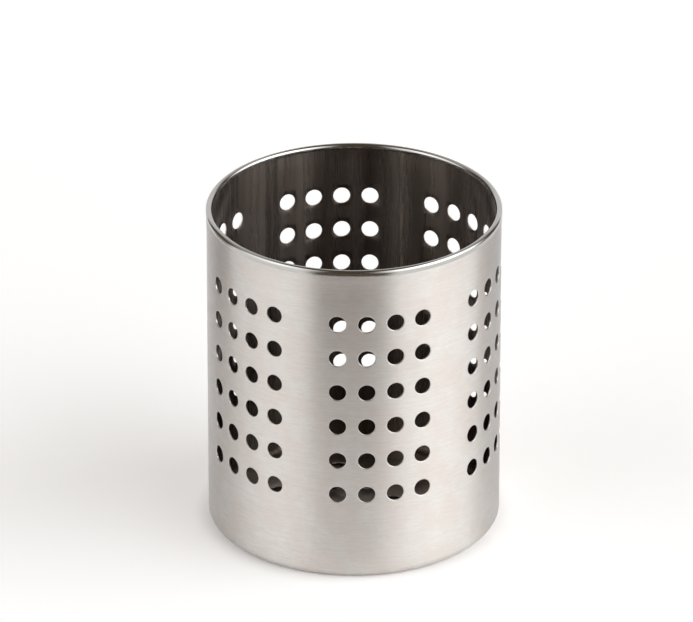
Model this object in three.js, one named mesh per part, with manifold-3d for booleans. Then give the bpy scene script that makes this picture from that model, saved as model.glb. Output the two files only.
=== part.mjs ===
// Cutlery basket: an open round cup of perforated stainless steel sheet.
// A strip is rolled to a cylinder and closed by a butt weld. Its top edge is curled inwards to a bead.
// Its bottom edge is turned in to a flange, and a pressed plate lies on that flange, held by tack welds.
// Lengths are in millimetres. Z points up, the basket stands on Z = 0 and its axis is the Z axis.
// Angles run round the axis from -Y towards +X. The butt weld is at half a turn, on the +Y side.

import * as THREE from 'three';
import { mergeVertices } from 'three/addons/utils/BufferGeometryUtils.js';
import Module from 'manifold-3d';

// Driving dimensions of the whole basket

const outerDiameter = 120;
const height = 139.5;
const sheetThickness = 0.6;

// Curled rim

const beadDiameter = 2.6;
const beadProud = 0.3; // how far the bead stands out past the wall
const beadNeckHeight = 1.5; // where the wall leans out to meet the bead
const curlGap = 0.3; // left between the sheet's edge and the wall

// Bottom corner and the flange turned in from it

const cornerRadius = 4;
const flangeWidth = 7;

// Perforation of the wall

const holeDiameter = 7;
const groupCount = 6;
const columnsPerGroup = 4;
const rowCount = 6;
const columnPitch = 11.85; // along the outer face
const topRowDepth = 24; // from the top of the bead down to the first row's centres
const bottomRowHeight = 38.5; // from the surface it stands on up to the last row's centres

// Butt weld of the rolled strip

const seamWidth = 1.2;

// Base plate

const seatClearance = 0.3; // between the plate's edge and the start of the wall's corner
const plateThickness = 0.6;
const plateRise = 2; // height of the raised middle over the plate's seat
const rampWidth = 5;
const drainRingCount = 2;
const drainMargin = 5; // plain metal between the outer drain holes and the ramp

// Tack welds under the base plate

const tackCount = 6;
const tackLength = 8;
const tackWidth = 1.8;
const tackGap = 0.3; // between a tack and the flange's edge
const tackFloorClearance = 0.2;

// Facets and cutting

const wallFacets = 60;
const cornerSteps = 3;
const curlSteps = 6;
const rampSteps = 4;
const holeSides = 10;
const tackSides = 12;
const tackArcSteps = 2;
const cutOverrun = 1; // how far a punch passes each face that it cuts
const mergeTolerance = 1e-4;

// Radii and heights that follow from the values above

const outerRadius = outerDiameter / 2;
const innerRadius = outerRadius - sheetThickness;
const beadRadius = beadDiameter / 2;
const beadCentreRadius = outerRadius + beadProud - beadRadius;
const beadCentreHeight = height - beadRadius;
const neckFootHeight = beadCentreHeight - beadNeckHeight;
const cornerCentreRadius = outerRadius - cornerRadius;
const flangeInnerRadius = cornerCentreRadius - flangeWidth;
const holeRadius = holeDiameter / 2;
const topRowHeight = height - topRowDepth;
const rowPitch = (topRowHeight - bottomRowHeight) / (rowCount - 1);
const plateRadius = cornerCentreRadius - seatClearance;
const rampFootRadius = flangeInnerRadius - tackGap - tackWidth - tackGap;
const rampHeadRadius = rampFootRadius - rampWidth;
const drainRingPitch = (rampHeadRadius - drainMargin - holeRadius) / drainRingCount;
const tackHeight = sheetThickness - tackFloorClearance;

const wasm = await Module();
wasm.setup();

// Solids from meshes, and meshes from solids

function solidOf(geometry) {
  const bare = geometry.clone();
  bare.deleteAttribute('normal');
  bare.deleteAttribute('uv');
  const merged = mergeVertices(bare, mergeTolerance);
  const corners = Array.from(merged.index.array);
  const triangles = [];
  for (let i = 0; i < corners.length; i += 3) {
    const [a, b, c] = corners.slice(i, i + 3);
    if (a !== b && b !== c && c !== a) triangles.push(a, b, c);
  }
  return new wasm.Manifold(new wasm.Mesh({
    numProp: 3,
    vertProperties: new Float32Array(merged.attributes.position.array),
    triVerts: new Uint32Array(triangles),
  }));
}

function meshOf(name, solid, material) {
  const { vertProperties, triVerts } = solid.getMesh();
  const geometry = new THREE.BufferGeometry();
  geometry.setAttribute('position', new THREE.BufferAttribute(vertProperties, 3));
  geometry.setIndex(new THREE.BufferAttribute(triVerts, 1));
  geometry.computeVertexNormals();
  const mesh = new THREE.Mesh(geometry, material);
  mesh.name = name;
  return mesh;
}

// A section of [radius, height] points, going round it with the metal on the left, turned about Z

function turned(section, facets) {
  const points = section.map(([radius, z]) => new THREE.Vector2(radius, z));
  const geometry = new THREE.LatheGeometry([...points, points[0]], facets);
  return solidOf(geometry.rotateX(Math.PI / 2));
}

// Points on an arc about [radius, height], from one angle to another, with both ends

function arc(centreRadius, centreHeight, arcRadius, from, to, steps) {
  return Array.from({ length: steps + 1 }, (_, i) => {
    const angle = from + (to - from) * i / steps;
    return [centreRadius + arcRadius * Math.cos(angle), centreHeight + arcRadius * Math.sin(angle)];
  });
}

// The sheet's section: up the outer face from the flange to the curl, and back down the inner face

function sheetSection() {
  const curlEndReach = innerRadius - curlGap - beadCentreRadius;
  const curlEnd = 2 * Math.PI - Math.acos(THREE.MathUtils.clamp(curlEndReach / beadRadius, -1, 1));
  const cornerInnerRadius = cornerRadius - sheetThickness;
  const curlInnerRadius = beadRadius - sheetThickness;
  const down = -Math.PI / 2;
  return [
    [flangeInnerRadius, 0],
    ...arc(cornerCentreRadius, cornerRadius, cornerRadius, down, 0, cornerSteps),
    [outerRadius, neckFootHeight],
    ...arc(beadCentreRadius, beadCentreHeight, beadRadius, 0, curlEnd, curlSteps),
    ...arc(beadCentreRadius, beadCentreHeight, curlInnerRadius, curlEnd, 0, curlSteps),
    [innerRadius, neckFootHeight],
    ...arc(cornerCentreRadius, cornerRadius, cornerInnerRadius, 0, down, cornerSteps),
    [flangeInnerRadius, sheetThickness],
  ];
}

// A round punch that points outwards, at an angle and a height

function wallPunch(angle, z) {
  const length = sheetThickness + 2 * cutOverrun;
  const punch = new THREE.CylinderGeometry(holeRadius, holeRadius, length, holeSides);
  const middleRadius = (outerRadius + innerRadius) / 2;
  return solidOf(punch.translate(0, -middleRadius, z).rotateZ(angle));
}

// The rolled strip with its holes, and the weld that fills the slit between its two ends

function rolledWall() {
  const blank = turned(sheetSection(), wallFacets);
  const slitDepth = outerRadius + beadProud + cutOverrun;
  const slit = new THREE.BoxGeometry(seamWidth, slitDepth, height + 2 * cutOverrun);
  const slitSolid = solidOf(slit.translate(0, slitDepth / 2, height / 2));
  const seam = blank.intersect(slitSolid);
  let wall = blank.subtract(slitSolid);
  const columnAngle = columnPitch / outerRadius;
  const groupAngle = 2 * Math.PI / groupCount;
  for (let group = 0; group < groupCount; group += 1) {
    for (let column = 0; column < columnsPerGroup; column += 1) {
      const fromMiddle = column - (columnsPerGroup - 1) / 2;
      const angle = (group + 1 / 2) * groupAngle + fromMiddle * columnAngle;
      for (let row = 0; row < rowCount; row += 1) {
        wall = wall.subtract(wallPunch(angle, bottomRowHeight + row * rowPitch));
      }
    }
  }
  return { wall, seam };
}

// The plate's face from its middle to its edge: a smooth ramp from the raised middle down to the seat

function plateFace(seatHeight) {
  const ramp = Array.from({ length: rampSteps + 1 }, (_, i) => {
    const share = i / rampSteps;
    const lift = plateRise * (1 + Math.cos(Math.PI * share)) / 2;
    return [rampHeadRadius + rampWidth * share, seatHeight + lift];
  });
  return [[0, seatHeight + plateRise], ...ramp, [plateRadius, seatHeight]];
}

// The pressed plate, with a drain hole in the middle and a ring of six more holes for each ring outwards

function basePlate() {
  const underside = plateFace(sheetThickness);
  const upperSide = plateFace(sheetThickness + plateThickness);
  let plate = turned([...underside, ...upperSide.reverse()], wallFacets);
  const length = plateThickness + plateRise + 2 * cutOverrun;
  const middleHeight = sheetThickness + (plateThickness + plateRise) / 2;
  for (let ring = 0; ring <= drainRingCount; ring += 1) {
    const holesInRing = Math.max(1, 6 * ring);
    for (let hole = 0; hole < holesInRing; hole += 1) {
      const punch = new THREE.CylinderGeometry(holeRadius, holeRadius, length, holeSides);
      punch.rotateX(Math.PI / 2).translate(0, -ring * drainRingPitch, middleHeight);
      plate = plate.subtract(solidOf(punch.rotateZ(2 * Math.PI * hole / holesInRing)));
    }
  }
  return plate;
}

// One tack: a low oval bead with its flat face up against the plate, long side along the flange's edge

function tackWeld(angle) {
  const section = [
    ...arc(0, 0, 1, -Math.PI / 2, 0, tackArcSteps),
    [0, 0],
  ];
  const points = section.map(([radius, z]) => new THREE.Vector2(radius, z));
  const bead = new THREE.LatheGeometry(points, tackSides).rotateX(Math.PI / 2);
  const middleRadius = flangeInnerRadius - tackGap - tackWidth / 2;
  bead.scale(tackLength / 2, tackWidth / 2, tackHeight);
  bead.translate(0, -middleRadius, sheetThickness);
  return solidOf(bead.rotateZ(angle));
}

// Finishes of the steel

const brushedSteel = new THREE.MeshStandardMaterial({ color: 0xc6c2bd, roughness: 0.38, metalness: 1 });
const plateSteel = new THREE.MeshStandardMaterial({ color: 0xb4b0ab, roughness: 0.45, metalness: 1 });
const weldSteel = new THREE.MeshStandardMaterial({ color: 0x9d968f, roughness: 0.5, metalness: 1 });

// The assembly

const basket = new THREE.Group();
const { wall, seam } = rolledWall();
basket.add(meshOf('perforated_wall', wall, brushedSteel));
basket.add(meshOf('side_seam_weld', seam, weldSteel));
basket.add(meshOf('base_plate', basePlate(), plateSteel));
for (let tack = 0; tack < tackCount; tack += 1) {
  const angle = (tack + 1 / 2) * 2 * Math.PI / tackCount;
  basket.add(meshOf(`base_tack_weld_${tack + 1}`, tackWeld(angle), weldSteel));
}

export default basket;
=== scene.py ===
# An upright cutlery basket of perforated stainless steel sheet, on a pale floor in soft studio light.
# Lengths are in metres, Z is up and the basket's axis is the Z axis.
# Angles run round the axis from -Y towards +X, in radians unless the name says degrees.

import math

import bmesh
import bpy
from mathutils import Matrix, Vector


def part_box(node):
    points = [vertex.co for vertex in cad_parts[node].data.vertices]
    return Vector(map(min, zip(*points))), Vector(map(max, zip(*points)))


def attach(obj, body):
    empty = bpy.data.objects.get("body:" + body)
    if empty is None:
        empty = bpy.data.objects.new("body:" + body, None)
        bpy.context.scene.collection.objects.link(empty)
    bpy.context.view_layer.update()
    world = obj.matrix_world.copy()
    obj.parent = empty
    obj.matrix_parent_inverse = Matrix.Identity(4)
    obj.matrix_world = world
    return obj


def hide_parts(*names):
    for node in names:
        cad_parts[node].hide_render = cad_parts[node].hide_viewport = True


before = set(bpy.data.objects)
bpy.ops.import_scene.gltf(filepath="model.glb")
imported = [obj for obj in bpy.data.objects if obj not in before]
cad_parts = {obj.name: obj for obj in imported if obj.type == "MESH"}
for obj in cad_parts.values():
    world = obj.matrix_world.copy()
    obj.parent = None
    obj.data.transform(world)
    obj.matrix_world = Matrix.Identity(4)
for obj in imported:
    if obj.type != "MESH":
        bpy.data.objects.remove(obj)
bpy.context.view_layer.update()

# Perforated wall
# One strip of 0.6 mm stainless sheet, punched with 144 round holes, rolled up and brushed round its axis.
# Its top edge is curled inwards to a polished bead, its bottom edge turned in to a flat flange.

wall_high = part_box("perforated_wall")[1]
height = wall_high[2]
bead_reach = wall_high[0]
bead_proud = 0.0003  # how far the bead stands out past the wall
outer_radius = bead_reach - bead_proud
sheet = 0.0006
bead_radius = 0.0013
lean_height = 0.008  # from where the wall leans out up to the bead's middle
polished_height = 0.0014  # buffed with the bead, from below up to its middle
curl_gap = 0.0003
corner_radius = 0.004
flange_width = 0.007
hole_radius = 0.0035
group_count = 6
columns_per_group = 4
row_count = 6
column_pitch = 0.01185
top_row_depth = 0.024
bottom_row_height = 0.0385
seam_width = 0.0012
drawn_edge = 0.0002  # round that the punch leaves at a hole's mouth
burr_edge = 0.00008  # flare that it leaves at the back
edge_land = 0.0004  # ring of fine faces that keeps the metal round a mouth smooth

# Places that follow from these sizes

inner_radius = outer_radius - sheet
bead_centre_radius = bead_reach - bead_radius
bead_centre_height = height - bead_radius
lean_foot = bead_centre_height - lean_height
polish_foot = bead_centre_height - polished_height
flange_outer_radius = outer_radius - corner_radius
flange_inner_radius = flange_outer_radius - flange_width
row_pitch = (height - top_row_depth - bottom_row_height) / (row_count - 1)
column_angle = column_pitch / outer_radius
group_angle = 2 * math.pi / group_count
seam_half_angle = math.asin(seam_width / 2 / outer_radius)

# How finely the wall's mesh is divided, and from which turn on its edges are crisp

steps_per_cell = 8
strip_steps = 10
flange_steps = 2
corner_steps = 7
plain_steps = 3
lean_steps = 5
polish_steps = 2
curl_steps = 16
crisp_edge_degrees = 50


def between(start, end, steps):
    """The steps + 1 even places from start to end."""
    return [start + (end - start) * i / steps for i in range(steps + 1)]


def bent_sheet(centre_radius, centre_height, reach, angle):
    """The (radius, height) of the sheet's outer and inner face where it bends round a centre."""
    faces = []
    for face_reach in (reach, reach - sheet):
        radius = centre_radius + face_reach * math.cos(angle)
        faces.append((radius, centre_height + face_reach * math.sin(angle)))
    return faces


def wall_section():
    """The sheet's section from the flange's edge to the curl's end, and where its perforated field is.

    Each entry has the (radius, height) of the outer face, that of the inner face, and the outer face's
    finish on the way there. The field's start and end are places in the list."""
    pairs = []
    for radius in between(flange_inner_radius, flange_outer_radius, flange_steps):
        pairs.append(((radius, 0.0), (radius, sheet), "underside"))
    for angle in between(-math.pi / 2, 0.0, corner_steps)[1:]:
        pairs.append((*bent_sheet(flange_outer_radius, corner_radius, corner_radius, angle), "brushed"))
    field_foot = bottom_row_height - row_pitch / 2
    field_head = field_foot + row_count * row_pitch
    heights = between(corner_radius, field_foot, plain_steps)[1:]
    field_start = len(pairs) + len(heights) - 1
    field_end = field_start + row_count * steps_per_cell
    heights += between(field_foot, field_head, row_count * steps_per_cell)[1:]
    heights += between(field_head, lean_foot, plain_steps)[1:]
    pairs += [((outer_radius, z), (inner_radius, z), "brushed") for z in heights]
    leaning = [(z, "brushed") for z in between(lean_foot, polish_foot, lean_steps)[1:]]
    leaning += [(z, "bead") for z in between(polish_foot, bead_centre_height, polish_steps)[1:]]
    for z, finish_name in leaning:
        share = (z - lean_foot) / lean_height
        lean = bead_proud * share * share * (3 - 2 * share)
        pairs.append(((outer_radius + lean, z), (inner_radius + lean, z), finish_name))
    curl_reach = (inner_radius - curl_gap - bead_centre_radius) / bead_radius
    for angle in between(0.0, 2 * math.pi - math.acos(curl_reach), curl_steps)[1:]:
        pairs.append((*bent_sheet(bead_centre_radius, bead_centre_height, bead_radius, angle), "bead"))
    return pairs, field_start, field_end


def wall_columns():
    """The angles of the wall's columns of points, from one side of the weld to the other, and the cells.

    A cell is one column of holes: the number of its first column of points, and its middle's angle."""
    angles = [seam_half_angle - math.pi]
    cells = []
    field_angle = columns_per_group * column_angle
    for group in range(group_count):
        middle = (group + 0.5) * group_angle - math.pi
        start = middle - field_angle / 2
        steps = strip_steps if group else strip_steps // 2
        angles += between(angles[-1], start, steps)[1:]
        for column in range(columns_per_group):
            left = start + column * column_angle
            cells.append((len(angles) - 1, left + column_angle / 2))
            angles += between(left, left + column_angle, steps_per_cell)[1:]
    angles += between(angles[-1], math.pi - seam_half_angle, strip_steps // 2)[1:]
    return angles, cells


def around(radius, angle, z):
    """The point at a radius and an angle round the axis, at a height."""
    return (radius * math.sin(angle), -radius * math.cos(angle), z)


class Skin:
    """The points and faces of a mesh while it is made, with the finish of each face."""

    def __init__(self):
        self.points = []
        self.faces = []
        self.finish_names = []

    def point(self, place):
        self.points.append(place)
        return len(self.points) - 1

    def face(self, corners, finish_name):
        self.faces.append(corners)
        self.finish_names.append(finish_name)

    def patch(self, rows, row, column, finish_name, outwards=True):
        """One quad of a grid of points, facing outwards or inwards."""
        corners = [rows[row][column], rows[row][column + 1]]
        corners += [rows[row + 1][column + 1], rows[row + 1][column]]
        if not outwards:
            corners.reverse()
        self.face(corners, finish_name)

    def band(self, lower, upper, finish_name, closed=True):
        """Quads from one row of points to the next."""
        last = len(lower) if closed else len(lower) - 1
        for i in range(last):
            j = (i + 1) % len(lower)
            self.face((lower[i], lower[j], upper[j], upper[i]), finish_name)

    def cut_end(self, outer, inner, column, finish_name):
        """Quads across the sheet's thickness, up its first or its last column of points."""
        for row in range(len(outer) - 1):
            corners = [outer[row][column], outer[row + 1][column]]
            corners += [inner[row + 1][column], inner[row][column]]
            if column > 0:
                corners.reverse()
            self.face(corners, finish_name)

    def piece(self, name, finishes):
        """The object, with its finishes' materials in the order that they are given in."""
        mesh = bpy.data.meshes.new(name)
        mesh.from_pydata(self.points, [], self.faces)
        for material in finishes.values():
            mesh.materials.append(material)
        order = list(finishes)
        mesh.polygons.foreach_set("material_index", [order.index(used) for used in self.finish_names])
        mesh.polygons.foreach_set("use_smooth", [True] * len(self.faces))
        mesh.update()
        made = bpy.data.objects.new(name, mesh)
        bpy.context.scene.collection.objects.link(made)
        return made


def sharpen(piece, degrees):
    """Marks the edges that turn by more than an angle as sharp, so that a cut edge stays crisp."""
    piece.data.set_sharp_from_angle(angle=math.radians(degrees))


def punched_edge(thickness):
    """Pairs of (radius, depth) down a hole from the face that the punch enters.

    The face is drawn in round the mouth, the hole is sheared straight, and its back edge flares."""
    drawn_half_way = drawn_edge * (1 - math.cos(math.pi / 4))
    return [
        (hole_radius + drawn_edge, 0.0),
        (hole_radius + drawn_half_way, drawn_half_way),
        (hole_radius, drawn_edge),
        (hole_radius, thickness - burr_edge),
        (hole_radius + burr_edge, thickness),
    ]


def punched_hole(skin, middle, z, outer_border, inner_border):
    """A hole punched from outside, with the wall round it out to its cell's border."""
    first_corner = -3 * math.pi / 4
    turns = [first_corner + 2 * math.pi * i / len(outer_border) for i in range(len(outer_border))]

    def circle(radius, depth):
        places = []
        face_radius = outer_radius - depth
        for turn in turns:
            angle = middle + math.asin(radius * math.cos(turn) / face_radius)
            places.append((face_radius, angle, z + radius * math.sin(turn)))
        return places

    def halfway(border, ring):
        places = []
        for corner, place in zip(border, ring):
            x, y, height_there = skin.points[corner]
            angle = math.atan2(x, -y)
            places.append((place[0], (angle + place[1]) / 2, (height_there + place[2]) / 2))
        return places

    edge = punched_edge(sheet)
    land = circle(hole_radius + drawn_edge + edge_land, 0.0)
    rings = [(halfway(outer_border, land), "brushed"), (land, "brushed"), (circle(*edge[0]), "brushed")]
    rings += [(circle(*place), "sheared") for place in edge[1:]]
    rings.append((halfway(inner_border, circle(*edge[-1])), "inside"))
    row = outer_border
    for places, finish_name in rings:
        following = [skin.point(around(*place)) for place in places]
        skin.band(row, following, finish_name)
        row = following
    skin.band(row, inner_border, "inside")


def wall_skin():
    """The whole wall as one closed skin: both faces, the cut edges and all the holes."""
    skin = Skin()
    pairs, field_start, field_end = wall_section()
    angles, cells = wall_columns()
    outer = []
    inner = []
    for outer_place, inner_place, _ in pairs:
        outer.append([skin.point(around(outer_place[0], angle, outer_place[1])) for angle in angles])
        inner.append([skin.point(around(inner_place[0], angle, inner_place[1])) for angle in angles])
    holed = set()
    for first, _ in cells:
        holed.update(range(first, first + steps_per_cell))
    for row in range(len(pairs) - 1):
        finish_name = pairs[row + 1][2]
        inner_finish_name = "bead" if finish_name == "bead" else "inside"
        for column in range(len(angles) - 1):
            if field_start <= row < field_end and column in holed:
                continue
            skin.patch(outer, row, column, finish_name)
            skin.patch(inner, row, column, inner_finish_name, outwards=False)
    skin.cut_end(outer, inner, 0, "sheared")
    skin.cut_end(outer, inner, len(angles) - 1, "sheared")
    skin.band(inner[0], outer[0], "sheared", closed=False)
    skin.band(outer[-1], inner[-1], "sheared", closed=False)
    span = range(steps_per_cell)
    for first, middle in cells:
        last = first + steps_per_cell
        for row in range(row_count):
            foot = field_start + row * steps_per_cell
            head = foot + steps_per_cell
            borders = []
            for face in (outer, inner):
                border = [face[foot][first + i] for i in span]
                border += [face[foot + i][last] for i in span]
                border += [face[head][last - i] for i in span]
                border += [face[head - i][first] for i in span]
                borders.append(border)
            punched_hole(skin, middle, bottom_row_height + row * row_pitch, *borders)
    return skin


class Tone:
    """A socket of a node tree. Sums and products of it add Math nodes, so a finish reads as a formula."""

    def __init__(self, tree, socket=None):
        self.tree = tree
        self.socket = socket

    def node(self, kind, settings=None, inputs=None, output=0):
        """A new node of a type. Its settings are set first, then the values or links of its sockets."""
        made = self.tree.nodes.new("ShaderNode" + kind)
        for name, value in (settings or {}).items():
            if name == "stops":
                set_stops(made.color_ramp, value)
            else:
                setattr(made, name, value)
        for name, value in (inputs or {}).items():
            if isinstance(value, Tone):
                self.tree.links.new(value.socket, made.inputs[name])
            else:
                made.inputs[name].default_value = value
        return Tone(self.tree, made.outputs[output])

    def math(self, operation, *values):
        return self.node("Math", {"operation": operation}, dict(enumerate(values)))

    def __add__(self, other):
        return self.math("ADD", self, other)

    def __radd__(self, other):
        return self.math("ADD", other, self)

    def __sub__(self, other):
        return self.math("SUBTRACT", self, other)

    def __rsub__(self, other):
        return self.math("SUBTRACT", other, self)

    def __mul__(self, other):
        return self.math("MULTIPLY", self, other)

    def __rmul__(self, other):
        return self.math("MULTIPLY", other, self)

    def __truediv__(self, other):
        return self.math("DIVIDE", self, other)

    def __rtruediv__(self, other):
        return self.math("DIVIDE", other, self)

    def axis(self, letter):
        """This place's coordinate along X, Y or Z."""
        return self.node("SeparateXYZ", {}, {0: self}, output=letter)

    def flat_place(self, x, y):
        """A place from two coordinates, with a third of zero."""
        return self.node("CombineXYZ", {}, {0: x, 1: y, 2: 0.0})

    def swing(self, amount):
        """A pattern between 0 and 1 as a swing to both sides of zero."""
        return (self - 0.5) * amount

    def smooth(self, low, high):
        """0 below low, 1 above high, and a soft rise between them."""
        ends = {"Value": self, "From Min": low, "From Max": high}
        return self.node("MapRange", {"interpolation_type": "SMOOTHSTEP"}, ends)

    def colour(self, dark, light):
        """The colour between two colours that this share picks."""
        sockets = {0: self, 6: (*dark, 1.0), 7: (*light, 1.0)}
        return self.node("Mix", {"data_type": "RGBA"}, sockets, output=2)

    def over(self, below, above):
        """A plain colour over this share of another one."""
        sockets = {0: self, 6: below, 7: (*above, 1.0)}
        return self.node("Mix", {"data_type": "RGBA"}, sockets, output=2)

    def noise(self, grains, detail=2.0, roughness=0.5):
        """Noise at this place, with its own number of grains a metre along each axis."""
        stretched = self.node("VectorMath", {"operation": "MULTIPLY"}, {0: self, 1: grains})
        sockets = {"Vector": stretched, "Scale": 1.0, "Detail": detail, "Roughness": roughness}
        return self.node("TexNoise", {}, sockets)


def set_stops(ramp, stops):
    """Gives a colour ramp soft grey stops, from (place, tone) pairs."""
    ramp.interpolation = "EASE"
    while len(ramp.elements) < len(stops):
        ramp.elements.new(0.5)
    for element, (place, tone) in zip(ramp.elements, stops):
        element.position = place
        element.color = (tone, tone, tone, 1.0)


steel_edge_tint = (0.815, 0.832, 0.852, 1.0)
round_the_axis = 0.25  # turn of the brushing, as a share of a full one


def steel(name, anisotropic=0.0, turn=0.0):
    """A new metal finish: its material, its shader node and where its patterns start from."""
    material = bpy.data.materials.new(name)
    material.use_nodes = True
    tree = material.node_tree
    shader = tree.nodes["Principled BSDF"]
    shader.inputs["Metallic"].default_value = 1.0
    shader.inputs["Specular Tint"].default_value = steel_edge_tint
    shader.inputs["Anisotropic"].default_value = anisotropic
    shader.inputs["Anisotropic Rotation"].default_value = turn
    place = Tone(tree).node("TexCoord", output="Object")
    return material, shader, place


def unrolled(place):
    """Places on the unrolled strip: metres round the wall and metres up."""
    along = place.math("ARCTAN2", place.axis("X"), 0.0 - place.axis("Y")) * outer_radius
    return place.flat_place(along, place.axis("Z"))


def give_finish(shader, colour, roughness, relief, depth):
    """Joins a colour, a roughness and a relief of a given depth in metres to the shader."""
    bump = relief.node("Bump", {}, {"Height": relief, "Distance": depth, "Strength": 1.0})
    for name, tone in (("Base Color", colour), ("Roughness", roughness), ("Normal", bump)):
        relief.tree.links.new(tone.socket, shader.inputs[name])


def brushed_finish():
    """Fine lines round the wall from a brushing belt, over soft patches, some of them warmer."""
    hairline_grains = (420.0, 5600.0, 1.0)
    stroke_grains = (170.0, 2100.0, 1.0)
    pass_grains = (30.0, 620.0, 1.0)
    cloud_grains = (75.0, 55.0, 1.0)
    hairline_share = 0.34
    stroke_share = 0.46
    pass_share = 0.20
    dull_steel = (0.690, 0.641, 0.607)
    bright_steel = (0.712, 0.697, 0.670)
    cloud_edges = (0.36, 0.64)
    line_shade = (0.572, 0.544, 0.514)
    line_edges = (0.36, 0.64)
    line_strength = 0.66
    plain_roughness = 0.36
    line_roughness = 0.25
    cloud_roughness = 0.05
    line_depth = 0.000026
    material, shader, place = steel("brushed_wall_steel", anisotropic=0.9, turn=round_the_axis)
    strip = unrolled(place)
    hairlines = strip.noise(hairline_grains, detail=3.0, roughness=0.6)
    strokes = strip.noise(stroke_grains, detail=3.0, roughness=0.7)
    passes = strip.noise(pass_grains, detail=2.0, roughness=0.7)
    clouds = strip.noise(cloud_grains)
    lines = hairlines * hairline_share + strokes * stroke_share + passes * pass_share
    tint = clouds.smooth(*cloud_edges).colour(dull_steel, bright_steel)
    colour = (lines.smooth(*line_edges) * line_strength).over(tint, line_shade)
    roughness = plain_roughness + lines.swing(line_roughness) + clouds.swing(cloud_roughness)
    give_finish(shader, colour, roughness, lines, line_depth)
    return material


def bead_finish():
    """The curl, polished on a buffing wheel, with a few faint lines left."""
    line_grains = (60.0, 9000.0, 1.0)
    cloud_grains = (90.0, 300.0, 1.0)
    dark_polish = (0.50, 0.50, 0.482)
    light_polish = (0.58, 0.58, 0.562)
    plain_roughness = 0.12
    line_roughness = 0.08
    cloud_roughness = 0.05
    line_depth = 0.000004
    material, shader, place = steel("polished_bead_steel")
    strip = unrolled(place)
    lines = strip.noise(line_grains)
    clouds = strip.noise(cloud_grains)
    roughness = plain_roughness + lines.swing(line_roughness) + clouds.swing(cloud_roughness)
    give_finish(shader, clouds.colour(dark_polish, light_polish), roughness, lines, line_depth)
    return material


def inside_finish_with_painted_shade():
    """The sheet's dull mill face, a little wavy from the bending rolls, streaked in brownish colours far
    darker than bare steel: painted shade inside the basket.
    """
    sway_grains = (55.0, 30.0, 1.0)
    sway_width = 0.006
    streak_grains = (420.0, 6.0, 1.0)
    wave_grains = (120.0, 4.0, 1.0)
    streak_share = 0.30
    wave_share = 0.70
    # Painted shade: both inside colours are far darker than bare steel, and the mill streaks only vary
    # between them.
    dark_mill_painted_shade = (0.160, 0.131, 0.112)
    light_mill_painted_shade = (0.265, 0.228, 0.202)
    mill_streak_edges = (0.30, 0.70)
    plain_tint = (1.0, 1.0, 1.0, 1.0)
    plain_roughness = 0.28
    streak_roughness = 0.2
    streak_relief = 0.04
    wave_depth = 0.0001
    material, shader, place = steel("mill_inside_steel_painted_shade", anisotropic=0.8, turn=round_the_axis)
    shader.inputs["Specular Tint"].default_value = plain_tint
    strip = unrolled(place)
    sway = strip.noise(sway_grains, detail=1.0).swing(sway_width)
    swayed = strip.flat_place(strip.axis("X") + sway, strip.axis("Y"))
    streaks = swayed.noise(streak_grains, roughness=0.6)
    waves = swayed.noise(wave_grains, detail=1.0)
    mill_streak_pattern = (streaks * streak_share + waves * wave_share).smooth(*mill_streak_edges)
    roughness = plain_roughness + streaks.swing(streak_roughness)
    relief = waves + streaks * streak_relief
    give_finish(shader, mill_streak_pattern.colour(dark_mill_painted_shade, light_mill_painted_shade), roughness, relief, wave_depth)
    return material


def underside_finish():
    """The flange, scuffed bright in all directions where it slides on the table."""
    scuff_grains = (170.0, 1700.0, 1.0)
    cross_scuff_grains = (1700.0, 170.0, 1.0)
    cloud_grains = (60.0, 60.0, 60.0)
    scuff_share = 0.7
    cloud_share = 0.3
    dull_steel = (0.45, 0.43, 0.41)
    bright_steel = (0.64, 0.62, 0.60)
    scuff_edges = (0.35, 0.65)
    plain_roughness = 0.42
    scuff_roughness = 0.3
    scuff_depth = 0.00001
    material, shader, place = steel("scuffed_flange_steel")
    along = place.noise(scuff_grains, detail=3.0, roughness=0.65)
    across = place.noise(cross_scuff_grains, detail=3.0, roughness=0.65)
    scuffs = (along + across) / 2
    mix = scuffs * scuff_share + place.noise(cloud_grains) * cloud_share
    colour = mix.smooth(*scuff_edges).colour(dull_steel, bright_steel)
    roughness = plain_roughness + scuffs.swing(scuff_roughness)
    give_finish(shader, colour, roughness, scuffs, scuff_depth)
    return material


def sheared_finish():
    """Cut edges of the sheet: a bright burnished band with fine tear marks."""
    tear_grains = (2600.0, 2600.0, 2600.0)
    torn_steel = (0.50, 0.48, 0.455)
    burnished_steel = (0.72, 0.70, 0.68)
    tear_edges = (0.30, 0.70)
    plain_roughness = 0.30
    tear_roughness = 0.25
    tear_depth = 0.000008
    material, shader, place = steel("sheared_edge_steel")
    tears = place.noise(tear_grains, detail=3.0, roughness=0.6)
    colour = tears.smooth(*tear_edges).colour(torn_steel, burnished_steel)
    roughness = plain_roughness + tears.swing(tear_roughness)
    give_finish(shader, colour, roughness, tears, tear_depth)
    return material


wall_finishes = {
    "brushed": brushed_finish(),
    "bead": bead_finish(),
    "inside": inside_finish_with_painted_shade(),
    "underside": underside_finish(),
    "sheared": sheared_finish(),
}
wall = wall_skin().piece("rolled_perforated_sheet", wall_finishes)
sharpen(wall, crisp_edge_degrees)
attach(wall, "root")
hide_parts("perforated_wall")

# Side seam
# The butt weld that closes the rolled strip, from the flange to the end of the curl.
# It is ground flush and brushed over outside, and left as a low crown with heat tint inside.

seam_crown = 0.00012
seam_columns = 6


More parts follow.
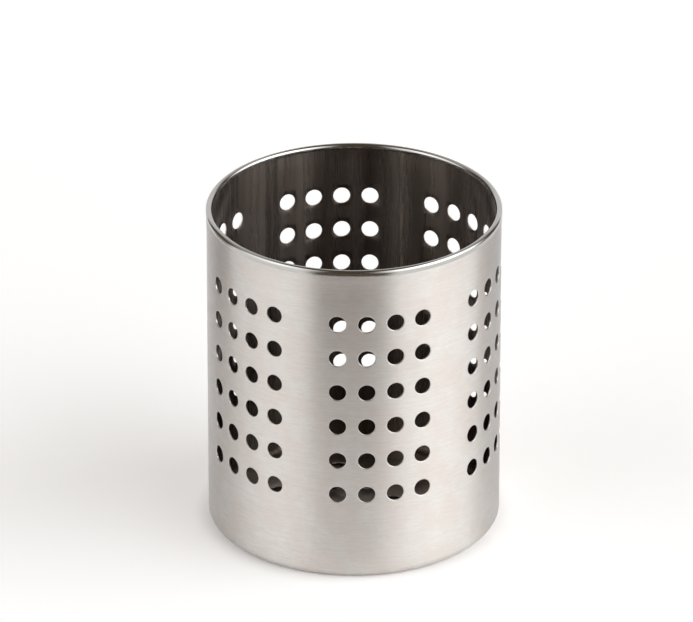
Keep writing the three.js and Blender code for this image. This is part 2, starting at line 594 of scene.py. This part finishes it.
def seam_skin():
    """The wall's own section across the width of the weld, with its crown inside."""
    skin = Skin()
    pairs = wall_section()[0]
    outer = []
    inner = []
    for row, (outer_place, inner_place, finish_name) in enumerate(pairs):
        crowned = finish_name == "brushed" and row > corner_steps + flange_steps
        outer_row = []
        inner_row = []
        for share in between(-1.0, 1.0, seam_columns):
            angle = math.pi + share * seam_half_angle
            rise = seam_crown * (1 - share * share) if crowned else 0.0
            outer_row.append(skin.point(around(outer_place[0], angle, outer_place[1])))
            inner_row.append(skin.point(around(inner_place[0] - rise, angle, inner_place[1])))
        outer.append(outer_row)
        inner.append(inner_row)
    for row in range(len(pairs) - 1):
        curled = pairs[row + 1][2] == "bead"
        skin.band(outer[row], outer[row + 1], "bead" if curled else "ground", closed=False)
        skin.band(inner[row + 1], inner[row], "bead" if curled else "crown", closed=False)
    skin.cut_end(outer, inner, 0, "ground")
    skin.cut_end(outer, inner, seam_columns, "ground")
    skin.band(inner[0], outer[0], "ground", closed=False)
    skin.band(outer[-1], inner[-1], "ground", closed=False)
    return skin


def ground_finish():
    """The weld outside: brushed with the wall, and a little duller and warmer than it."""
    line_grains = (300.0, 3000.0, 1.0)
    dark_weld = (0.54, 0.515, 0.485)
    light_weld = (0.64, 0.615, 0.585)
    line_edges = (0.30, 0.70)
    plain_roughness = 0.34
    line_roughness = 0.2
    line_depth = 0.000012
    material, shader, place = steel("ground_seam_steel", anisotropic=0.6, turn=round_the_axis)
    lines = unrolled(place).noise(line_grains, detail=3.0)
    colour = lines.smooth(*line_edges).colour(dark_weld, light_weld)
    roughness = plain_roughness + lines.swing(line_roughness)
    give_finish(shader, colour, roughness, lines, line_depth)
    return material


def crown_finish():
    """The weld inside: ripples across it, and straw and violet heat tint."""
    ripple_grains = (500.0, 1500.0, 1.0)
    tint_grains = (400.0, 90.0, 1.0)
    violet_tint = (0.30, 0.27, 0.27)
    straw_tint = (0.50, 0.43, 0.33)
    tint_edges = (0.35, 0.65)
    plain_roughness = 0.36
    ripple_roughness = 0.2
    ripple_depth = 0.00006
    material, shader, place = steel("seam_crown_steel")
    strip = unrolled(place)
    ripples = strip.noise(ripple_grains)
    colour = strip.noise(tint_grains).smooth(*tint_edges).colour(violet_tint, straw_tint)
    roughness = plain_roughness + ripples.swing(ripple_roughness)
    give_finish(shader, colour, roughness, ripples, ripple_depth)
    return material


seam_finishes = {"ground": ground_finish(), "crown": crown_finish(), "bead": wall_finishes["bead"]}
seam = seam_skin().piece("side_seam_bead", seam_finishes)
sharpen(seam, crisp_edge_degrees)
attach(seam, "root")
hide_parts("side_seam_weld")

# Base plate
# A disc pressed from 0.6 mm sheet that lies on the flange. Its middle is raised by 2 mm to stiffen it,
# and it is punched from above with 19 drain holes.

plate_low, plate_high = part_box("base_plate")
plate_radius = plate_high[0]
plate_thickness = 0.0006
plate_rise = plate_high[2] - plate_low[2] - plate_thickness
tack_gap = 0.0003
tack_width = 0.0018
ramp_width = 0.005
ramp_foot = flange_inner_radius - 2 * tack_gap - tack_width
ramp_head = ramp_foot - ramp_width
drain_ring_count = 2
drains_in_first_ring = 6
drain_margin = 0.005
drain_ring_pitch = (ramp_head - drain_margin - hole_radius) / drain_ring_count
plate_edge_round = drawn_edge / 2
plate_columns = 144
ramp_steps = 10
seat_steps = 3
drain_sides = 36


def plate_rings():
    """Pairs of (radius, lift) of the plate from the edge of its flat middle out to its own edge."""
    rings = []
    for share in between(0.0, 1.0, ramp_steps):
        rings.append((ramp_head + ramp_width * share, plate_rise * (1 + math.cos(math.pi * share)) / 2))
    for radius in between(ramp_foot, plate_radius - plate_edge_round, seat_steps)[1:]:
        rings.append((radius, 0.0))
    return rings


def drain_places():
    """The middles of the drain holes: one on the axis, and six more in each ring outwards."""
    places = [(0.0, 0.0)]
    for ring in range(1, drain_ring_count + 1):
        holes_in_ring = drains_in_first_ring * ring
        for hole in range(holes_in_ring):
            x, y, _ = around(ring * drain_ring_pitch, 2 * math.pi * hole / holes_in_ring, 0.0)
            places.append((x, y))
    return places


def plate_skin():
    """The pressed plate: rings for its ramp and edge, the drains, and its flat middle round them."""
    skin = Skin()
    columns = [2 * math.pi * i / plate_columns for i in range(plate_columns)]
    turns = [2 * math.pi * i / drain_sides for i in range(drain_sides)]
    seat = plate_low[2]

    def ring(radius, z):
        return [skin.point(around(radius, angle, z)) for angle in columns]

    upper = [ring(radius, seat + plate_thickness + lift) for radius, lift in plate_rings()]
    lower = [ring(radius, seat + lift) for radius, lift in plate_rings()]
    for row in range(len(upper) - 1):
        skin.band(upper[row + 1], upper[row], "plate_top")
        skin.band(lower[row], lower[row + 1], "plate_under")
    edge = [lower[-1]]
    edge.append(ring(plate_radius, seat + plate_edge_round))
    edge.append(ring(plate_radius, seat + plate_thickness - plate_edge_round))
    edge.append(upper[-1])
    for row in range(len(edge) - 1):
        skin.band(edge[row], edge[row + 1], "sheared")

    top = seat + plate_thickness + plate_rise
    mouths = []
    backs = []
    for x, y in drain_places():
        rows = []
        for radius, depth in punched_edge(plate_thickness):
            z = top - depth
            places = [(x + radius * math.cos(turn), y + radius * math.sin(turn), z) for turn in turns]
            rows.append([skin.point(place) for place in places])
        for row in range(len(rows) - 1):
            skin.band(rows[row], rows[row + 1], "sheared")
        mouths.append(rows[0])
        backs.append(rows[-1])
    fill(skin, upper[0], mouths, "plate_top", up=True)
    fill(skin, lower[0], backs, "plate_under", up=False)
    return skin


def fill(skin, border, holes, finish_name, up):
    """Fills a flat face between its border and the rims of its holes with triangles."""
    flat = bmesh.new()
    kept = {}
    for row in [border, *holes]:
        corners = []
        for index in row:
            corner = flat.verts.new(skin.points[index])
            kept[corner] = index
            corners.append(corner)
        for i, corner in enumerate(corners):
            flat.edges.new((corner, corners[(i + 1) % len(corners)]))
    bmesh.ops.triangle_fill(flat, use_beauty=True, use_dissolve=False, edges=flat.edges[:])
    flat.normal_update()
    for triangle in flat.faces:
        corners = tuple(kept[corner] for corner in triangle.verts)
        if (triangle.normal.z > 0) != up:
            corners = corners[::-1]
        skin.face(corners, finish_name)
    flat.free()


def plate_finish(name, dark_steel, light_steel):
    """Satin sheet with rings left by the press and scratches in all directions."""
    ring_grains = 1800.0
    scratch_grains = (1500.0, 90.0, 1.0)
    cloud_grains = (45.0, 45.0, 45.0)
    ring_share = 0.35
    scratch_share = 0.35
    cloud_share = 0.3
    mark_edges = (0.36, 0.64)
    plain_roughness = 0.33
    scratch_roughness = 0.16
    cloud_roughness = 0.12
    mark_depth = 0.00001
    material, shader, place = steel(name, anisotropic=0.35, turn=round_the_axis)
    x = place.axis("X")
    y = place.axis("Y")
    reach = place.math("SQRT", x * x + y * y)
    ring_sockets = {"W": reach, "Scale": ring_grains, "Detail": 2.0}
    rings = reach.node("TexNoise", {"noise_dimensions": "1D"}, ring_sockets)
    scratches = place.noise(scratch_grains, detail=3.0)
    clouds = place.noise(cloud_grains, detail=3.0)
    marks = rings * ring_share + scratches * scratch_share + clouds * cloud_share
    colour = marks.smooth(*mark_edges).colour(dark_steel, light_steel)
    roughness = plain_roughness + scratches.swing(scratch_roughness) + clouds.swing(cloud_roughness)
    give_finish(shader, colour, roughness, marks, mark_depth)
    return material


plate_top_dark = (0.40, 0.38, 0.36)
plate_top_light = (0.56, 0.54, 0.515)
plate_under_dark = (0.38, 0.365, 0.35)
plate_under_light = (0.54, 0.52, 0.50)
plate_finishes = {
    "plate_top": plate_finish("base_plate_top_steel", plate_top_dark, plate_top_light),
    "plate_under": plate_finish("base_plate_under_steel", plate_under_dark, plate_under_light),
    "sheared": wall_finishes["sheared"],
}
plate = plate_skin().piece("pressed_base_disc", plate_finishes)
sharpen(plate, crisp_edge_degrees)
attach(plate, "root")
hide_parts("base_plate")

# Tack welds
# Six short beads of weld metal on the underside, along the flange's edge. They hold the base plate
# to the flange and stay clear of the table.

tack_count = 6
tack_length = 0.008
tack_floor_clearance = 0.0002
tack_height = sheet - tack_floor_clearance
tack_columns = 40
tack_rows = 8
tack_ripple_count = 9
tack_ripple_share = 0.25
tack_edge_degrees = 60


def tack_skin(angle):
    """A low oval bead under the plate, with the ripples of the weld pool along it."""
    skin = Skin()
    middle_radius = flange_inner_radius - tack_gap - tack_width / 2
    rows = []
    for row in range(tack_rows):
        tilt = math.pi / 2 * row / tack_rows
        ring = []
        for column in range(tack_columns):
            turn = 2 * math.pi * column / tack_columns
            length = tack_length / 2 * math.cos(turn) * math.cos(tilt)
            width = tack_width / 2 * math.sin(turn) * math.cos(tilt)
            ripple = (1 + math.cos(2 * math.pi * tack_ripple_count * length / tack_length)) / 2
            rise = tack_height * math.sin(tilt) * (1 - tack_ripple_share * ripple * math.sin(tilt))
            place = around(middle_radius + width, angle + length / middle_radius, sheet - rise)
            ring.append(skin.point(place))
        rows.append(ring)
    bottom = skin.point(around(middle_radius, angle, sheet - tack_height))
    for row in range(tack_rows - 1):
        skin.band(rows[row], rows[row + 1], "tack")
    for column in range(tack_columns):
        skin.face((bottom, rows[-1][column], rows[-1][(column + 1) % tack_columns]), "tack")
    skin.face(rows[0][::-1], "tack")
    return skin


def tack_finish():
    """Bare weld metal, dull, with straw and violet heat tint."""
    tint_grains = (500.0, 500.0, 500.0)
    surface_grains = (2500.0, 2500.0, 2500.0)
    violet_tint = (0.26, 0.23, 0.25)
    straw_tint = (0.52, 0.45, 0.34)
    tint_edges = (0.35, 0.65)
    plain_roughness = 0.40
    grain_roughness = 0.25
    grain_depth = 0.00001
    material, shader, place = steel("tack_weld_steel")
    grain = place.noise(surface_grains)
    colour = place.noise(tint_grains).smooth(*tint_edges).colour(violet_tint, straw_tint)
    roughness = plain_roughness + grain.swing(grain_roughness)
    give_finish(shader, colour, roughness, grain, grain_depth)
    return material


tack_finishes = {"tack": tack_finish()}
for number in range(tack_count):
    tack_angle = (number + 0.5) * 2 * math.pi / tack_count
    tack = tack_skin(tack_angle).piece(f"tack_bead_{number + 1}", tack_finishes)
    sharpen(tack, tack_edge_degrees)
    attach(tack, "root")
    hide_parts(f"base_tack_weld_{number + 1}")

# Floor
# A matt white studio floor, far larger than any view of it. Camera, mirror and see-through rays
# also see it glow a little, so that it stays white while the basket's shadow stays on it.

floor_reach = 40.0
floor_colour = (0.930, 0.935, 0.940, 1.0)
floor_roughness = 0.9
floor_glow = 0.27
floor_glow_start = (0.052, 0.068)  # distances from the axis between which the glow sets in


def matt_paint(name, colour, roughness):
    """A new matt material, its shader node and a start for its patterns."""
    material = bpy.data.materials.new(name)
    material.use_nodes = True
    shader = material.node_tree.nodes["Principled BSDF"]
    shader.inputs["Base Color"].default_value = colour
    shader.inputs["Roughness"].default_value = roughness
    shader.inputs["Specular IOR Level"].default_value = 0.0
    return material, shader, Tone(material.node_tree)


floor_paint, floor_shader, floor_rays = matt_paint("studio_floor_paint", floor_colour, floor_roughness)
seen = floor_rays.node("LightPath", output="Is Camera Ray")
mirrored = floor_rays.node("LightPath", output="Is Glossy Ray")
through = floor_rays.node("LightPath", output="Is Transmission Ray")
floor_place = floor_rays.node("TexCoord", output="Object")
from_axis = floor_rays.node("VectorMath", {"operation": "LENGTH"}, {0: floor_place}, output="Value")
glowing_rays = seen.math("MAXIMUM", seen.math("MAXIMUM", seen, mirrored), through)
glow = glowing_rays * from_axis.smooth(*floor_glow_start) * floor_glow
floor_paint.node_tree.links.new(glow.socket, floor_shader.inputs["Emission Color"])
floor_shader.inputs["Emission Strength"].default_value = 1.0

floor_skin = Skin()
floor_corners = []
for x, y in ((-1, -1), (1, -1), (1, 1), (-1, 1)):
    floor_corners.append(floor_skin.point((x * floor_reach, y * floor_reach, 0.0)))
floor_skin.face(tuple(floor_corners), "paint")
floor = floor_skin.piece("studio_floor", {"paint": floor_paint})

# Camera
# It stands at about the photograph's azimuth and elevation, far off with a long lens, so that the
# wall's sides run almost parallel, and turned so that the basket lies where it does there.

picture_width = 693
picture_height = 622
basket_width_pixels = 293.0
basket_middle_pixels = (354.0, 359.0)
camera_azimuth = math.radians(19.4)
camera_elevation = math.radians(27.0)
camera_distance = 3.6
sensor_width = 36.0

pixels_per_radian = basket_width_pixels / (2 * outer_radius) * camera_distance
camera_data = bpy.data.cameras.new("studio_camera")
camera_data.sensor_width = sensor_width
camera_data.lens = pixels_per_radian * sensor_width / picture_width
camera_data.clip_start = 0.05
camera_data.clip_end = 200.0
camera = bpy.data.objects.new("studio_camera", camera_data)
bpy.context.scene.collection.objects.link(camera)
bpy.context.scene.camera = camera

towards = Vector((
    math.sin(camera_azimuth) * math.cos(camera_elevation),
    -math.cos(camera_azimuth) * math.cos(camera_elevation),
    math.sin(camera_elevation),
))
target = Vector((0.0, 0.0, height / 2))
right = Vector((math.cos(camera_azimuth), math.sin(camera_azimuth), 0.0))
up = towards.cross(right)
camera.location = target + towards * camera_distance
aside = (basket_middle_pixels[0] - picture_width / 2) / pixels_per_radian
below = (basket_middle_pixels[1] - picture_height / 2) / pixels_per_radian
sight = -towards - right * aside + up * below
camera.rotation_euler = sight.to_track_quat("-Z", "Y").to_euler()

# Light
# A soft studio that faces the photograph's camera: a tall bright box at each side, the right one
# stronger, a low backdrop and a higher back light behind the basket, and a dim warm room. Heights
# are the sine of the elevation. Below the floor's far edge everything is plain white.

studio_front = camera_azimuth  # it stays there when the view moves
box_peak = 3.2
box_by_degrees_right = [
    (-180, 0.0),
    (-106, 0.0),
    (-84, 1.33),
    (-62, 1.80),
    (-44, 1.25),
    (-20, 0.0),
    (10, 0.0),
    (44, 2.22),
    (64, 3.10),
    (94, 2.80),
    (120, 0.0),
    (180, 0.0),
]
box_head = (0.77, 0.91)
backdrop_by_degrees_right = [
    (-180, 0.85),
    (-148, 0.85),
    (-132, 0.0),
    (132, 0.0),
    (148, 0.85),
    (180, 0.85),
]
back_by_degrees_right = [
    (-180, 0.52),
    (-160, 0.52),
    (-136, 0.30),
    (-104, 0.30),
    (-88, 0.0),
    (92, 0.0),
    (110, 0.30),
    (136, 0.30),
    (160, 0.52),
    (180, 0.52),
]
back_foot = (0.40, 0.62)
back_head = (0.75, 0.90)
room_light = 0.10
room_tint = (1.0, 0.74, 0.54)
white_head = (0.0, 0.008)
white_light = 1.0


def share_round(place):
    """Where a place or a direction lies round the basket, as a share of a turn: 0.5 is at the studio's
    front, more than that is to the right of it, and 0 and 1 are behind. It doesn't follow the view."""
    x = place.axis("X")
    y = place.axis("Y")
    rightward = x * math.cos(studio_front) + y * math.sin(studio_front)
    nearer = x * math.sin(studio_front) - y * math.cos(studio_front)
    return place.math("ARCTAN2", rightward, nearer) / (2 * math.pi) + 0.5


def round_the_basket(share, levels, peak=1.0):
    """A level that follows (degrees to the right of the studio's front, level) pairs."""
    stops = [((degrees + 180) / 360, level / peak) for degrees, level in levels]
    return share.node("ValToRGB", {"stops": stops}, {"Fac": share}) * peak


world = bpy.data.worlds.new("soft_studio")
bpy.context.scene.world = world
world.use_nodes = True
direction = Tone(world.node_tree).node("TexCoord", output="Generated")
rise = direction.axis("Z")
sky_share = share_round(direction)
above_foot = rise.smooth(*back_foot)
boxes = round_the_basket(sky_share, box_by_degrees_right, box_peak) * (1 - rise.smooth(*box_head))
backdrop = round_the_basket(sky_share, backdrop_by_degrees_right) * (1 - above_foot)
back = round_the_basket(sky_share, back_by_degrees_right) * above_foot * (1 - rise.smooth(*back_head))
studio = boxes + backdrop + back + room_light
above_white = rise.smooth(*white_head)
light = studio * above_white + white_light * (1 - above_white)
tint = (room_light / studio * above_white).colour((1.0, 1.0, 1.0), room_tint)
background = world.node_tree.nodes["Background"]
world.node_tree.links.new(light.socket, background.inputs["Strength"])
world.node_tree.links.new(tint.socket, background.inputs["Color"])

# Dark cloth
# Lies on the floor in front of the basket, and further out at both sides. Only what the metal mirrors
# shows it: it gives the curled rim its dark line and the wall its darker upright band.

cloth_near = 0.28
cloth_side_near = 0.44
cloth_soft_hem = 0.03
cloth_far = 30.0
cloth_height = 0.002
cloth_columns = 120
cloth_colour = (0.104, 0.067, 0.046, 1.0)
cloth_roughness = 1.0
cloth_by_degrees_right = [
    (-180, 0.0),
    (-132, 0.0),
    (-121, 0.6),
    (-109, 0.6),
    (-98, 0.0),
    (-38, 0.0),
    (-24, 0.96),
    (20, 0.96),
    (34, 0.0),
    (180, 0.0),
]
side_cloth_by_degrees_right = [
    (-180, 0.0),
    (-145, 0.0),
    (-136, 0.88),
    (-105, 0.88),
    (-96, 0.0),
    (96, 0.0),
    (105, 0.88),
    (136, 0.88),
    (145, 0.0),
    (180, 0.0),
]

cloth_dye, cloth_shader, weave = matt_paint("dark_cloth", cloth_colour, cloth_roughness)
cloth_place = weave.node("TexCoord", output="Object")
cloth_share = share_round(cloth_place)
reach = weave.node("VectorMath", {"operation": "LENGTH"}, {0: cloth_place}, output="Value")
front_cloth = round_the_basket(cloth_share, cloth_by_degrees_right)
front_cloth = front_cloth * reach.smooth(cloth_near, cloth_near + cloth_soft_hem)
side_cloth = round_the_basket(cloth_share, side_cloth_by_degrees_right)
side_cloth = side_cloth * reach.smooth(cloth_side_near, cloth_side_near + cloth_soft_hem)
cover = weave.math("MAXIMUM", front_cloth, side_cloth)
dyed = Tone(cloth_dye.node_tree, cloth_shader.outputs["BSDF"])
bare = weave.node("BsdfTransparent")
veil = weave.node("MixShader", {}, {0: cover, 1: bare, 2: dyed})
cloth_output = cloth_dye.node_tree.nodes["Material Output"]
cloth_dye.node_tree.links.new(veil.socket, cloth_output.inputs["Surface"])

cloth_skin = Skin()
cloth_rows = []
cloth_angles = [2 * math.pi * column / cloth_columns for column in range(cloth_columns)]
for radius in (cloth_near, cloth_far):
    cloth_rows.append([cloth_skin.point(around(radius, angle, cloth_height)) for angle in cloth_angles])
cloth_skin.band(cloth_rows[1], cloth_rows[0], "dye")
dark_cloth = cloth_skin.piece("dark_cloth", {"dye": cloth_dye})
dark_cloth.visible_camera = False
dark_cloth.visible_diffuse = False
dark_cloth.visible_shadow = False

bpy.context.scene.view_settings.view_transform = "Standard"
